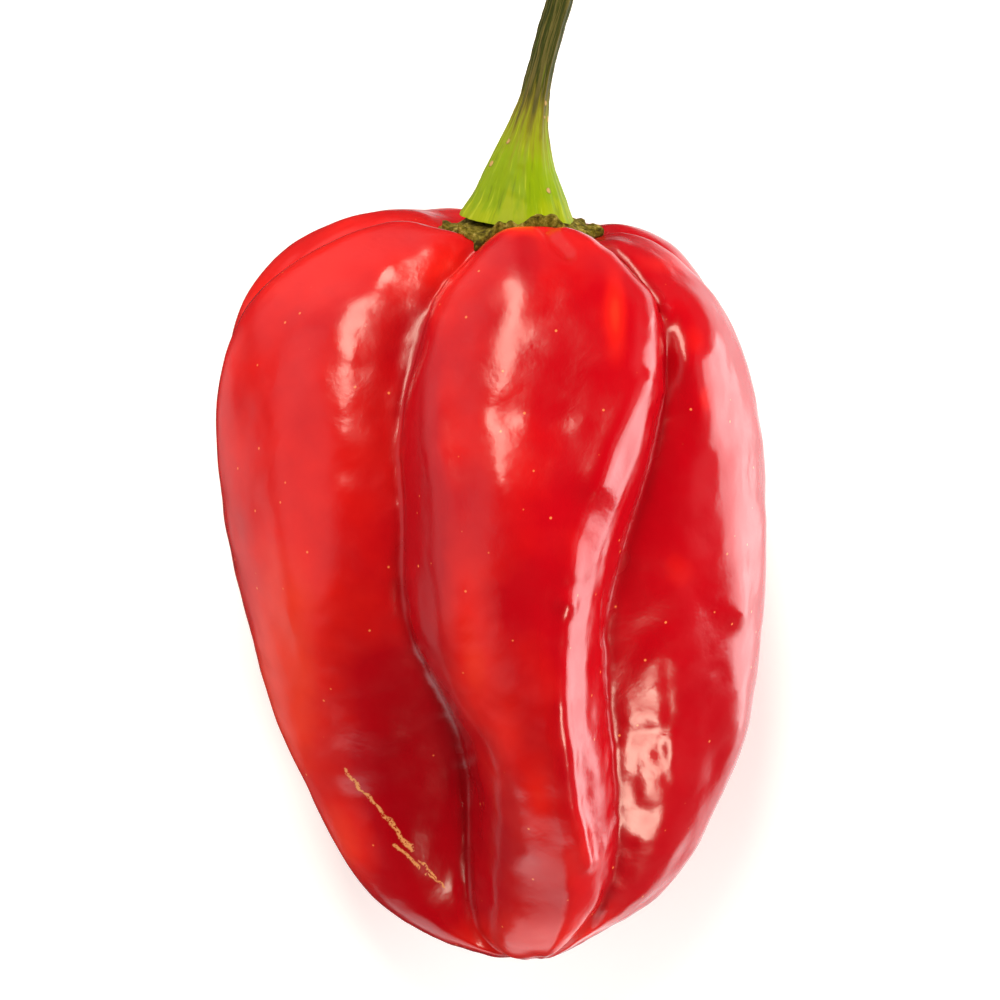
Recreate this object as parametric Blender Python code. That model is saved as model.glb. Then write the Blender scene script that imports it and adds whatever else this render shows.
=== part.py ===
"""A red chilli pepper of the lantern type, lying on its side: a five-lobed pod, its calyx and its stem.

Metres, +Z up. The pod lies along Y with its stem end towards +Y. The origin is on the surface that it
rests on, under the middle of the whole object.
"""

import math

import bmesh
import bpy
import numpy as np
from mathutils import Matrix

MM = 0.001

# The pod is drawn over five creases and five crests, each a smooth line from the calyx to the blossom
# end. A line has one point at each station, in millimetres: x, y, z. Stations 1 to 3 are on the
# shoulder, 4 to 9 along the side, 10 and 11 round the blossom end. All lines meet at the two poles.
CALYX_POLE = (2.0, 24.9, 19.0)
BLOSSOM_POLE = (3.0, -27.4, 10.8)
STEM_TILT = math.radians(9)
CALYX_AXIS = np.array((0, math.cos(STEM_TILT), math.sin(STEM_TILT)))
BLOSSOM_AXIS = np.array((0, -1, 0))

CREASES = (
    # between the left lobe and the middle lobe
    ((0.2, 24.1, 22.6), (-1.2, 24.0, 23.8), (-3.7, 21.0, 25.3), (-4.7, 18.6, 26.4),
     (-6.5, 11.3, 28.1), (-6.3, 4.1, 28.8), (-5.8, -3.2, 26.4), (-2.4, -10.5, 20.8),
     (-1.7, -17.7, 16.2), (-1.6, -22.8, 13.8), (-0.4, -26.1, 12.8)),
    # between the middle lobe and the right lobe
    ((5.0, 24.2, 22.0), (8.0, 24.0, 23.6), (10.6, 21.5, 25.2), (12.1, 18.0, 26.4),
     (11.7, 11.3, 27.0), (9.6, 4.1, 26.9), (8.1, -3.2, 26.0), (8.5, -10.5, 23.4),
     (8.9, -17.7, 19.6), (8.0, -22.8, 16.4), (5.4, -26.0, 13.8)),
    # between the right lobe and the right lobe below it
    ((6.6, 24.8, 18.5), (9.4, 25.4, 18.6), (13.0, 23.2, 17.5), (16.0, 18.6, 15.0),
     (17.8, 11.3, 12.5), (17.8, 4.1, 11.5), (17.6, -3.2, 10.5), (16.5, -10.5, 9.5),
     (14.1, -17.7, 9.4), (11.4, -22.7, 9.9), (6.6, -25.9, 10.6)),
    # between the two lobes that the pod lies on
    ((2.0, 25.4, 14.5), (1.6, 26.2, 10.8), (1.2, 24.6, 6.8), (1.0, 18.6, 4.0),
     (0.8, 11.3, 3.0), (0.6, 4.1, 2.6), (0.8, -3.2, 2.4), (1.2, -10.5, 2.6),
     (1.8, -17.7, 3.4), (2.4, -22.8, 5.0), (2.8, -26.1, 7.2)),
    # between the left lobe and the left lobe below it
    ((-2.6, 24.8, 18.2), (-6.6, 26.0, 17.8), (-13.8, 23.3, 16.8), (-17.8, 18.2, 14.5),
     (-18.3, 11.3, 11.5), (-17.2, 4.1, 10.5), (-15.4, -3.2, 9.8), (-13.6, -10.5, 9.2),
     (-11.0, -17.7, 9.4), (-7.8, -23.0, 9.9), (-2.8, -26.2, 10.6)),
)
CRESTS = (
    # the middle lobe, uppermost
    ((2.0, 24.3, 23.5), (1.9, 25.8, 26.0), (2.0, 23.0, 29.8), (2.3, 18.6, 32.1),
     (2.2, 11.3, 33.8), (2.7, 4.1, 34.7), (3.0, -3.2, 33.3), (3.7, -10.5, 30.6),
     (4.7, -17.7, 25.3), (4.9, -22.8, 20.6), (4.2, -26.1, 16.2)),
    # the right lobe
    ((6.3, 24.7, 20.8), (9.8, 25.0, 21.9), (13.5, 22.4, 22.9), (16.4, 18.6, 22.9),
     (17.9, 11.3, 22.0), (18.4, 4.1, 20.8), (18.3, -3.2, 18.8), (17.3, -10.5, 16.8),
     (14.9, -17.7, 15.0), (11.6, -22.7, 13.6), (6.8, -25.9, 12.4)),
    # the right lobe that the pod lies on
    ((5.2, 25.5, 16.0), (7.2, 26.4, 13.0), (11.2, 24.6, 10.0), (14.6, 18.6, 6.0),
     (15.4, 11.3, 2.6), (15.2, 4.1, 1.9), (14.4, -3.2, 1.9), (12.8, -10.5, 2.4),
     (10.8, -17.7, 3.4), (8.2, -22.8, 5.2), (5.4, -26.1, 7.4)),
    # the left lobe that the pod lies on
    ((-1.0, 25.5, 15.8), (-5.0, 27.5, 12.5), (-13.2, 25.4, 10.2), (-17.2, 19.0, 6.8),
     (-16.4, 11.3, 2.9), (-14.8, 4.1, 1.9), (-12.8, -3.2, 1.8), (-10.8, -10.5, 2.3),
     (-8.2, -17.7, 3.4), (-5.2, -22.9, 5.2), (-0.5, -26.1, 7.4)),
    # the left lobe
    ((-1.8, 24.6, 21.3), (-6.2, 26.2, 21.6), (-13.2, 22.9, 22.4), (-16.5, 18.4, 23.6),
     (-16.6, 11.3, 25.2), (-15.9, 4.1, 25.7), (-14.6, -3.2, 24.0), (-13.0, -10.5, 19.6),
     (-10.7, -17.7, 15.6), (-7.5, -23.0, 13.7), (-2.6, -26.2, 12.5)),
)

# How far each lobe leans away from straight out of its crease, in degrees, at stations 1, 3, 5, 7, 9
# and 11: first on its left crease, then on its right one. 90 is no crease, and 0 is a deep cut.
LEANS = (
    ((60, 42, 35, 42, 50, 60), (60, 45, 42, 62, 66, 65)),
    ((60, 48, 50, 61, 62, 65), (60, 60, 60, 60, 60, 60)),
    ((60, 55, 55, 55, 55, 60), (60, 50, 45, 45, 50, 60)),
    ((60, 50, 45, 45, 50, 60), (60, 55, 55, 55, 55, 60)),
    ((60, 60, 60, 60, 60, 60), (55, 52, 55, 60, 58, 65)),
)
# How far an arch keeps to its lean, and how broad it is at the crest, as shares of its own span.
FULLNESS = 0.4
BREADTH = 0.6

POD_COLUMNS = 80
POD_ROWS = 44
# How much of the two lower lobes is pressed flat by the table.
PRESSED_FLAT = 0.25

# The calyx is a thin corky disc that follows the skin under it, with short teeth round its rim.
CALYX_RADIUS = 5.6
CALYX_THICKNESS = 0.7
CALYX_TOP = 1.6
# Its underside stands off the skin by this much along its own axis, where the skin is steep.
CALYX_LIFT = 0.6
CALYX_TEETH = 5
CALYX_TOOTH = 0.3
# It is thicker by this much over the middle lobe, which is this far round it, in radians.
CALYX_SWELLING = 0.4
SWELLING_TURN = 0.7
SWELLING_WIDTH = 0.5
CALYX_COLUMNS = 40

# The stem's centre line, in millimetres, and its radius there. The wide foot stands on the calyx.
STEM = (
    (1.8, 26.8, 19.3, 4.2), (1.87, 27.7, 19.42, 3.65), (1.95, 28.8, 19.62, 3.15),
    (2.08, 30.3, 19.9, 2.5), (2.4, 32.2, 20.15, 1.82), (2.95, 35.0, 20.5, 1.14),
    (3.85, 39.0, 21.0, 0.93), (5.2, 43.6, 21.5, 0.96), (7.0, 50.0, 22.0, 1.0),
    (8.9, 56.0, 22.3, 1.25),
)
STEM_COLUMNS = 20
STEM_ROWS = 22

# Colour, roughness
SKIN_RED = ((0.62, 0.012, 0.01, 1), 0.16)
CORK_OLIVE = ((0.11, 0.09, 0.02, 1), 0.85)
STALK_GREEN = ((0.24, 0.34, 0.02, 1), 0.45)


def unit(vectors):
    lengths = np.linalg.norm(vectors, axis=-1, keepdims=True)
    return vectors / np.maximum(lengths, 1e-9)


def spline(points, first_slope, last_slope, at):
    """The smooth curve through evenly numbered points, and its slope, at the numbers given."""
    points = np.array(points, float).reshape(len(points), -1)
    count = len(points)
    matrix = 4 * np.eye(count) + np.eye(count, k=1) + np.eye(count, k=-1)
    matrix[0, :2] = (1, 0)
    matrix[-1, -2:] = (0, 1)
    slopes = 3 * (np.roll(points, -1, axis=0) - np.roll(points, 1, axis=0))
    slopes[0] = first_slope
    slopes[-1] = last_slope
    slopes = np.linalg.solve(matrix, slopes)
    start = np.clip(at.astype(int), 0, count - 2)
    t = (at - start)[:, None]
    p, q = points[start], points[start + 1]
    u, v = slopes[start], slopes[start + 1]
    cubic = 2 * (p - q) + u + v
    square = 3 * (q - p) - 2 * u - v
    return ((cubic * t + square) * t + u) * t + p, (3 * cubic * t + 2 * square) * t + u


def across(vector, axis):
    """The part of a vector that is at right angles to an axis."""
    return vector - np.dot(vector, axis) * axis


def pod_line(points, stations):
    """One crease or crest, rounded over at both poles, and its direction, at the stations given."""
    whole = np.array((CALYX_POLE, *points, BLOSSOM_POLE))
    first = across(whole[1] - whole[0], CALYX_AXIS)
    last = across(whole[-1] - whole[-2], BLOSSOM_AXIS) * 1.3
    return spline(whole, first, last, stations)


def lean_line(degrees, stations):
    angles, _ = spline(degrees, 0, 0, np.clip((stations - 1) / 2, 0, 5))
    return np.radians(angles)


def half_lobe(crease, crest, out, side, lean, tangent, count):
    """Bezier arches from a crease up to a crest, one a station, with count points on each."""
    reach = FULLNESS * np.linalg.norm(crest - crease, axis=1, keepdims=True)
    rise = crease + reach * (np.cos(lean) * out + np.sin(lean) * side)
    crown = crest - BREADTH * np.sum((crest - crease) * tangent, axis=1, keepdims=True) * tangent
    t = np.linspace(0, 1, count, endpoint=False)[None, :, None]
    corners = (crease, rise, crown, crest)
    weights = ((1 - t) ** 3, 3 * t * (1 - t) ** 2, 3 * t**2 * (1 - t), t**3)
    return sum(weight * corner[:, None] for weight, corner in zip(weights, corners))


def pod_skin(stations, columns):
    """The pod's surface as rows of points: one row a station, running left to right over the top."""
    lobes = len(CRESTS)
    count = columns // (2 * lobes)
    creases = [pod_line(points, stations) for points in CREASES]
    crests = [pod_line(points, stations) for points in CRESTS]
    sides = [unit(crests[i][0] - crests[i - 1][0]) for i in range(lobes)]
    outs = [unit(np.cross(creases[i][1], sides[i])) for i in range(lobes)]
    parts = []
    for i in range(lobes):
        after = (i + 1) % lobes
        crest = crests[i][0]
        tangent = unit(creases[after][0] - creases[i][0])
        left_lean, right_lean = (lean_line(degrees, stations) for degrees in LEANS[i])
        rising = half_lobe(creases[i][0], crest, outs[i], sides[i], left_lean, tangent, count)
        falling = half_lobe(
            creases[after][0], crest, outs[after], -sides[after], right_lean, -tangent, count
        )
        closing = np.concatenate((falling, crest[:, None]), axis=1)[:, ::-1]
        parts += [rising, closing[:, :-1]]
    return np.concatenate(parts, axis=1)


def even_stations(rows):
    """Stations that space the rows evenly along the pod's lines."""
    fine = np.linspace(0, len(CREASES[0]) + 1, 600)
    speeds = [np.linalg.norm(pod_line(line, fine)[1], axis=1) for line in CREASES + CRESTS]
    length = np.concatenate(((0,), np.cumsum(np.mean(speeds, axis=0)[1:])))
    return np.interp(np.linspace(0, length[-1], rows + 1), length, fine)


def wrapped(name, grid):
    """A ball whose poles and rows are moved onto a grid of points in millimetres."""
    rows, columns = grid.shape[0] - 1, grid.shape[1]
    ball = bmesh.new()
    bmesh.ops.create_uvsphere(ball, u_segments=columns, v_segments=rows, radius=1)
    for vert in ball.verts:
        x, y, z = vert.co
        row = round(math.acos(max(-1, min(1, z))) / math.pi * rows)
        column = round(math.atan2(y, x) / math.tau * columns) % columns
        vert.co = grid[row, column] * MM
    bmesh.ops.triangulate(ball, faces=ball.faces)
    mesh = bpy.data.meshes.new(name)
    ball.to_mesh(mesh)
    ball.free()
    mesh.shade_smooth()
    made = bpy.data.objects.new(name, mesh)
    bpy.context.scene.collection.objects.link(made)
    return made


def finish(made, look):
    """Gives a piece its own material."""
    colour, roughness = look
    material = bpy.data.materials.new(made.name)
    material.use_nodes = True
    shader = material.node_tree.nodes["Principled BSDF"]
    shader.inputs["Base Color"].default_value = colour
    shader.inputs["Roughness"].default_value = roughness
    shader.inputs["Metallic"].default_value = 0
    made.data.materials.append(material)
    return made


def make_pod():
    """The fruit, pressed flat by a hair where the two lower lobes lie on the table."""
    skin = pod_skin(even_stations(POD_ROWS), POD_COLUMNS)
    table = skin[..., 2].min() + PRESSED_FLAT
    skin[..., 2] = np.maximum(skin[..., 2], table)
    return finish(wrapped("pod", skin), SKIN_RED)


def under_calyx(radii):
    """Points of the skin at these distances from the calyx's axis: one column for each place round it."""
    skin = pod_skin(np.linspace(0, 2.5, 60), CALYX_COLUMNS)
    away = skin - np.array(CALYX_POLE)
    away -= (away @ CALYX_AXIS)[..., None] * CALYX_AXIS
    distance = np.maximum.accumulate(np.linalg.norm(away, axis=-1), axis=0)
    points = np.empty((len(radii), CALYX_COLUMNS, 3))
    for column in range(CALYX_COLUMNS):
        for k in range(3):
            points[:, column, k] = np.interp(radii[:, column], distance[:, column], skin[:, column, k])
    return points


def make_calyx():
    turn = np.linspace(0, math.tau, CALYX_COLUMNS, endpoint=False)
    rim = CALYX_RADIUS + CALYX_TOOTH * np.cos(CALYX_TEETH * turn) + CALYX_TOOTH / 2 * np.sin(11 * turn)
    share = np.array((0, 0.25, 0.5, 0.72, 0.84, 0.94))[:, None]
    floor = under_calyx(share * rim)
    edge = under_calyx(0.985 * rim[None])
    height = (floor - np.array(CALYX_POLE)) @ CALYX_AXIS
    thickness = CALYX_THICKNESS + CALYX_SWELLING * np.exp(-(((turn - SWELLING_TURN) / SWELLING_WIDTH) ** 2))
    draped = height + CALYX_LIFT + thickness
    blend = np.clip((share * rim - STEM[0][3]) / (CALYX_RADIUS - STEM[0][3]), 0, 1)
    top = floor + ((1 - blend) * CALYX_TOP + blend * draped - height)[..., None] * CALYX_AXIS
    middle = edge + (CALYX_LIFT + thickness / 2)[None, :, None] * CALYX_AXIS
    bottom = floor + CALYX_LIFT * CALYX_AXIS
    return finish(wrapped("calyx", np.concatenate((top, middle, bottom[::-1]))), CORK_OLIVE)


def make_stem():
    """A stalk on a wide foot, its rings square to the line that it follows, with both ends closed flat."""
    stations = np.linspace(0, len(STEM) - 1, STEM_ROWS)
    stem = np.array(STEM)
    line, slope = spline(stem, stem[1] - stem[0], stem[-1] - stem[-2], stations)
    along = unit(slope[:, :3])
    along[0] = CALYX_AXIS
    side = unit(np.cross(along, (0, 0, 1)))
    lift = np.cross(side, along)
    turn = np.linspace(0, math.tau, STEM_COLUMNS, endpoint=False)[None, :, None]
    ring = np.cos(turn) * side[:, None] + np.sin(turn) * lift[:, None]
    rings = line[:, None, :3] + line[:, None, 3:] * ring
    foot, end = (np.broadcast_to(line[i, :3], rings[:1].shape) for i in (0, -1))
    return finish(wrapped("stem", np.concatenate((foot, rings, end))), STALK_GREEN)


def settle(pieces):
    """Puts the origin under the middle of the whole object, on the table."""
    points = np.array([vert.co for piece in pieces for vert in piece.data.vertices])
    low, high = points.min(axis=0), points.max(axis=0)
    shift = Matrix.Translation((-(low[0] + high[0]) / 2, -(low[1] + high[1]) / 2, -low[2]))
    for piece in pieces:
        piece.data.transform(shift)


def main():
    for old in list(bpy.data.objects):
        bpy.data.objects.remove(old)
    settle([make_pod(), make_calyx(), make_stem()])


main()
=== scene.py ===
"""The looks of a red lantern chilli pepper lying on its side: waxy pod, corky calyx, ribbed green stem.

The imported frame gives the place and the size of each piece, in metres. The shapes here are drawn finely
in millimetres and put where the frame's own pieces are.
"""

import math

import bmesh
import bpy
import numpy as np
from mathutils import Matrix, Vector


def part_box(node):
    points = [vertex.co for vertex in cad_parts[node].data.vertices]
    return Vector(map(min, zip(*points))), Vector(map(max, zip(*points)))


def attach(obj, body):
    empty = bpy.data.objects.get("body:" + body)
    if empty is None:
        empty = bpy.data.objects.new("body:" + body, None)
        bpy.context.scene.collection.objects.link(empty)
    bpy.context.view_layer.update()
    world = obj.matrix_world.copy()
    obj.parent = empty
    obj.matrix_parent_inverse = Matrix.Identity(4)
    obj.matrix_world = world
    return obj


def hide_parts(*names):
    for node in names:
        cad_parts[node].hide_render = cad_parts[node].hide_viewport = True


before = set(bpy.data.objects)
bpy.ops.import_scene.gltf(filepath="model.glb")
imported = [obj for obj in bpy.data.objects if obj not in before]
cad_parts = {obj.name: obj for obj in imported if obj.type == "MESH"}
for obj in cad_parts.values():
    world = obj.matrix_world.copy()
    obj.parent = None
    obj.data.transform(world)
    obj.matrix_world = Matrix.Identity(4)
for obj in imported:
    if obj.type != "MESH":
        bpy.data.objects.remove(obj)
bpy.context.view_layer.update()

MM = 0.001

# The noise lattice is turned so that its planes don't show along the pod.
LATTICE_TURN = np.array(((0.8, 0.36, -0.48), (0.0, 0.8, 0.6), (0.6, -0.48, 0.64)))

# The pod is drawn over five creases and five crests, each a smooth line from the calyx to the blossom
# end. A line has one point at each station, in millimetres: x, y, z. Stations 1 to 3 are on the
# shoulder, 4 to 9 along the side, 10 and 11 round the blossom end. All lines meet at the two poles.
CALYX_POLE = (2.0, 24.9, 19.0)
BLOSSOM_POLE = (3.0, -27.4, 10.8)
STEM_TILT = math.radians(9)
CALYX_AXIS = np.array((0, math.cos(STEM_TILT), math.sin(STEM_TILT)))
BLOSSOM_AXIS = np.array((0, -1, 0))

CREASES = (
    # between the left lobe and the middle lobe
    ((0.2, 24.1, 22.6), (-1.2, 24.0, 23.8), (-3.7, 21.0, 25.3), (-4.7, 18.6, 26.4),
     (-6.5, 11.3, 28.1), (-6.3, 4.1, 28.8), (-5.8, -3.2, 26.4), (-2.4, -10.5, 20.8),
     (-1.7, -17.7, 16.2), (-1.6, -22.8, 13.8), (-0.4, -26.1, 12.8)),
    # between the middle lobe and the right lobe
    ((5.0, 24.2, 22.0), (8.0, 24.0, 23.6), (10.6, 21.5, 25.2), (12.1, 18.0, 26.4),
     (11.7, 11.3, 27.0), (9.6, 4.1, 26.9), (8.1, -3.2, 26.0), (8.5, -10.5, 23.4),
     (8.9, -17.7, 19.6), (8.0, -22.8, 16.4), (5.4, -26.0, 13.8)),
    # between the right lobe and the right lobe below it
    ((6.6, 24.8, 18.5), (9.4, 25.4, 18.6), (13.0, 23.2, 17.5), (16.0, 18.6, 15.0),
     (17.8, 11.3, 12.5), (17.8, 4.1, 11.5), (17.6, -3.2, 10.5), (16.5, -10.5, 9.5),
     (14.1, -17.7, 9.4), (11.4, -22.7, 9.9), (6.6, -25.9, 10.6)),
    # between the two lobes that the pod lies on
    ((2.0, 25.4, 14.5), (1.6, 26.2, 10.8), (1.2, 24.6, 6.8), (1.0, 18.6, 4.0),
     (0.8, 11.3, 3.0), (0.6, 4.1, 2.6), (0.8, -3.2, 2.4), (1.2, -10.5, 2.6),
     (1.8, -17.7, 3.4), (2.4, -22.8, 5.0), (2.8, -26.1, 7.2)),
    # between the left lobe and the left lobe below it
    ((-2.6, 24.8, 18.2), (-6.6, 26.0, 17.8), (-13.8, 23.3, 16.8), (-17.8, 18.2, 14.5),
     (-18.3, 11.3, 11.5), (-17.2, 4.1, 10.5), (-15.4, -3.2, 9.8), (-13.6, -10.5, 9.2),
     (-11.0, -17.7, 9.4), (-7.8, -23.0, 9.9), (-2.8, -26.2, 10.6)),
)
CRESTS = (
    # the middle lobe, uppermost
    ((2.0, 24.3, 23.5), (1.9, 25.8, 26.0), (2.0, 23.0, 29.8), (2.3, 18.6, 32.1),
     (2.2, 11.3, 33.8), (2.7, 4.1, 34.7), (3.0, -3.2, 33.3), (3.7, -10.5, 30.6),
     (4.7, -17.7, 25.3), (4.9, -22.8, 20.6), (4.2, -26.1, 16.2)),
    # the right lobe
    ((6.3, 24.7, 20.8), (9.8, 25.0, 21.9), (13.5, 22.4, 22.9), (16.4, 18.6, 22.9),
     (17.9, 11.3, 22.0), (18.4, 4.1, 20.8), (18.3, -3.2, 18.8), (17.3, -10.5, 16.8),
     (14.9, -17.7, 15.0), (11.6, -22.7, 13.6), (6.8, -25.9, 12.4)),
    # the right lobe that the pod lies on
    ((5.2, 25.5, 16.0), (7.2, 26.4, 13.0), (11.2, 24.6, 10.0), (14.6, 18.6, 6.0),
     (15.4, 11.3, 2.6), (15.2, 4.1, 1.9), (14.4, -3.2, 1.9), (12.8, -10.5, 2.4),
     (10.8, -17.7, 3.4), (8.2, -22.8, 5.2), (5.4, -26.1, 7.4)),
    # the left lobe that the pod lies on
    ((-1.0, 25.5, 15.8), (-5.0, 27.5, 12.5), (-13.2, 25.4, 10.2), (-17.2, 19.0, 6.8),
     (-16.4, 11.3, 2.9), (-14.8, 4.1, 1.9), (-12.8, -3.2, 1.8), (-10.8, -10.5, 2.3),
     (-8.2, -17.7, 3.4), (-5.2, -22.9, 5.2), (-0.5, -26.1, 7.4)),
    # the left lobe
    ((-1.8, 24.6, 21.3), (-6.2, 26.2, 21.6), (-13.2, 22.9, 22.4), (-16.5, 18.4, 23.6),
     (-16.6, 11.3, 25.2), (-15.9, 4.1, 25.7), (-14.6, -3.2, 24.0), (-13.0, -10.5, 19.6),
     (-10.7, -17.7, 15.6), (-7.5, -23.0, 13.7), (-2.6, -26.2, 12.5)),
)

# How far each lobe leans away from straight out of its crease, in degrees, at stations 1, 3, 5, 7, 9
# and 11: first on its left crease, then on its right one. 90 is no crease, and 0 is a deep cut.
LEANS = (
    ((60, 42, 35, 42, 50, 60), (60, 45, 42, 62, 66, 65)),
    ((60, 48, 50, 61, 62, 65), (60, 60, 60, 60, 60, 60)),
    ((60, 55, 55, 55, 55, 60), (60, 50, 45, 45, 50, 60)),
    ((60, 50, 45, 45, 50, 60), (60, 55, 55, 55, 55, 60)),
    ((60, 60, 60, 60, 60, 60), (55, 52, 55, 60, 58, 65)),
)
# How far an arch keeps to its lean, and how broad it is at the crest, as shares of its own span.
FULLNESS = 0.4
BREADTH = 0.6

POD_COLUMNS = 400
POD_ROWS = 236
# The bottom of a crease is rounded over this many columns on each side, in this many passes.
ROUNDED_COLUMNS = 3
ROUNDING_PASSES = 2
# How much of the two lower lobes is pressed flat by the table.
PRESSED_FLAT = 0.2
# Height above the table from which the skin counts as the upper side.
UPPER_SIDE = 12

# The calyx, in millimetres: a thin collar with five broad teeth and many small ones round its rim.
CALYX_RADIUS = 5.6
CALYX_THICKNESS = 0.75
CALYX_TOP = 1.6
# It is thicker over the middle lobe: by how much, how far round it, and over what angle, in radians.
CALYX_SWELLING = 1.0
SWELLING_TURN = 0.7
SWELLING_WIDTH = 0.5
CALYX_COLUMNS = 400

# The stem's centre line, in millimetres, and its radius there.
STEM = (
    (1.75, 26.6, 19.2, 4.25), (1.85, 27.6, 19.38, 3.7), (1.93, 28.7, 19.6, 3.2),
    (2.08, 30.3, 19.9, 2.5), (2.4, 32.2, 20.15, 1.82), (2.95, 35.0, 20.5, 1.14),
    (3.85, 39.0, 21.0, 0.93), (5.2, 43.6, 21.5, 0.96), (7.0, 50.0, 22.0, 1.0),
    (8.9, 56.0, 22.3, 1.25),
)
STEM_ROWS = 460
STEM_COLUMNS = 180


# ---------------------------------------------------------------- the drawn lines


def unit(vectors):
    """The same directions, each 1 long."""
    lengths = np.linalg.norm(vectors, axis=-1, keepdims=True)
    return vectors / np.maximum(lengths, 1e-9)


def smooth_step(low, high, value):
    """0 up to the low value, 1 from the high value on, and smooth between them."""
    share = np.clip((value - low) / (high - low), 0, 1)
    return share * share * (3 - 2 * share)


def hill(places, middle, spread):
    """1 at one place seen from above, falling off smoothly over this half width and half length."""
    return np.exp(-(((places - middle) / spread) ** 2).sum(axis=-1))


def spline(points, first_slope, last_slope, at):
    """The smooth curve through evenly numbered points, and its slope, at the numbers given."""
    points = np.array(points, float).reshape(len(points), -1)
    count = len(points)
    matrix = 4 * np.eye(count) + np.eye(count, k=1) + np.eye(count, k=-1)
    matrix[0, :2] = (1, 0)
    matrix[-1, -2:] = (0, 1)
    slopes = 3 * (np.roll(points, -1, axis=0) - np.roll(points, 1, axis=0))
    slopes[0] = first_slope
    slopes[-1] = last_slope
    slopes = np.linalg.solve(matrix, slopes)
    start = np.clip(at.astype(int), 0, count - 2)
    t = (at - start)[:, None]
    p, q = points[start], points[start + 1]
    u, v = slopes[start], slopes[start + 1]
    cubic = 2 * (p - q) + u + v
    square = 3 * (q - p) - 2 * u - v
    return ((cubic * t + square) * t + u) * t + p, (3 * cubic * t + 2 * square) * t + u


def across(vector, axis):
    """The part of a vector that is at right angles to an axis."""
    return vector - np.dot(vector, axis) * axis


def pod_line(points, stations):
    """One crease or crest, rounded over at both poles, and its direction, at the stations given."""
    whole = np.array((CALYX_POLE, *points, BLOSSOM_POLE))
    first = across(whole[1] - whole[0], CALYX_AXIS)
    last = across(whole[-1] - whole[-2], BLOSSOM_AXIS) * 1.3
    return spline(whole, first, last, stations)


def lean_line(degrees, stations):
    """How far a lobe leans at the stations given, in radians."""
    angles, _ = spline(degrees, 0, 0, np.clip((stations - 1) / 2, 0, 5))
    return np.radians(angles)


def half_lobe(crease, crest, out, side, lean, tangent, count):
    """Bezier arches from a crease up to a crest, one a station, with count points on each."""
    reach = FULLNESS * np.linalg.norm(crest - crease, axis=1, keepdims=True)
    rise = crease + reach * (np.cos(lean) * out + np.sin(lean) * side)
    crown = crest - BREADTH * np.sum((crest - crease) * tangent, axis=1, keepdims=True) * tangent
    t = np.linspace(0, 1, count, endpoint=False)[None, :, None]
    corners = (crease, rise, crown, crest)
    weights = ((1 - t) ** 3, 3 * t * (1 - t) ** 2, 3 * t**2 * (1 - t), t**3)
    return sum(weight * corner[:, None] for weight, corner in zip(weights, corners))


def pod_skin(stations, columns):
    """The pod's surface as rows of points: one row a station, running left to right over the top."""
    lobes = len(CRESTS)
    count = columns // (2 * lobes)
    creases = [pod_line(points, stations) for points in CREASES]
    crests = [pod_line(points, stations) for points in CRESTS]
    sides = [unit(crests[i][0] - crests[i - 1][0]) for i in range(lobes)]
    outs = [unit(np.cross(creases[i][1], sides[i])) for i in range(lobes)]
    parts = []
    for i in range(lobes):
        after = (i + 1) % lobes
        crest = crests[i][0]
        tangent = unit(creases[after][0] - creases[i][0])
        left_lean, right_lean = (lean_line(degrees, stations) for degrees in LEANS[i])
        rising = half_lobe(creases[i][0], crest, outs[i], sides[i], left_lean, tangent, count)
        falling = half_lobe(
            creases[after][0], crest, outs[after], -sides[after], right_lean, -tangent, count
        )
        closing = np.concatenate((falling, crest[:, None]), axis=1)[:, ::-1]
        parts += [rising, closing[:, :-1]]
    return np.concatenate(parts, axis=1)


def even_stations(rows):
    """Stations that space the rows evenly along the pod's lines."""
    fine = np.linspace(0, len(CREASES[0]) + 1, 600)
    speeds = [np.linalg.norm(pod_line(line, fine)[1], axis=1) for line in CREASES + CRESTS]
    length = np.concatenate(((0,), np.cumsum(np.mean(speeds, axis=0)[1:])))
    return np.interp(np.linspace(0, length[-1], rows + 1), length, fine)


# ---------------------------------------------------------------- meshes from grids


def grid_normals(grid):
    """Outward directions of a grid of points whose columns run round it."""
    along = np.gradient(grid, axis=0)
    round_it = np.roll(grid, -1, axis=1) - np.roll(grid, 1, axis=1)
    normals = unit(np.cross(along, round_it))
    normals[0] = unit(normals[1].mean(axis=0))
    normals[-1] = unit(normals[-2].mean(axis=0))
    return normals


def lattice_noise(points, seed):
    """Smooth noise from about -1 to 1, one lump to a unit, for an array of points."""
    cell = np.floor(points).astype(np.int64)
    inside = points - cell
    ease = inside * inside * (3 - 2 * inside)
    total = np.zeros(points.shape[:-1])
    for corner in np.ndindex(2, 2, 2):
        spot = cell + corner
        hashed = spot[..., 0] * 73856093 ^ spot[..., 1] * 19349663
        hashed = hashed ^ spot[..., 2] * 83492791 ^ seed * 2654435761
        hashed = (hashed ^ hashed >> 13) * 1274126177
        value = (hashed >> 8 & 65535) / 32767.5 - 1
        share = np.where(corner, ease, 1 - ease).prod(axis=-1)
        total += share * value
    return total


def roughness_of(grid, size, seed):
    """Smooth noise at every point of a grid, with lumps of about this size."""
    turned = grid @ LATTICE_TURN
    return lattice_noise(turned / size + 100, seed)


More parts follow.
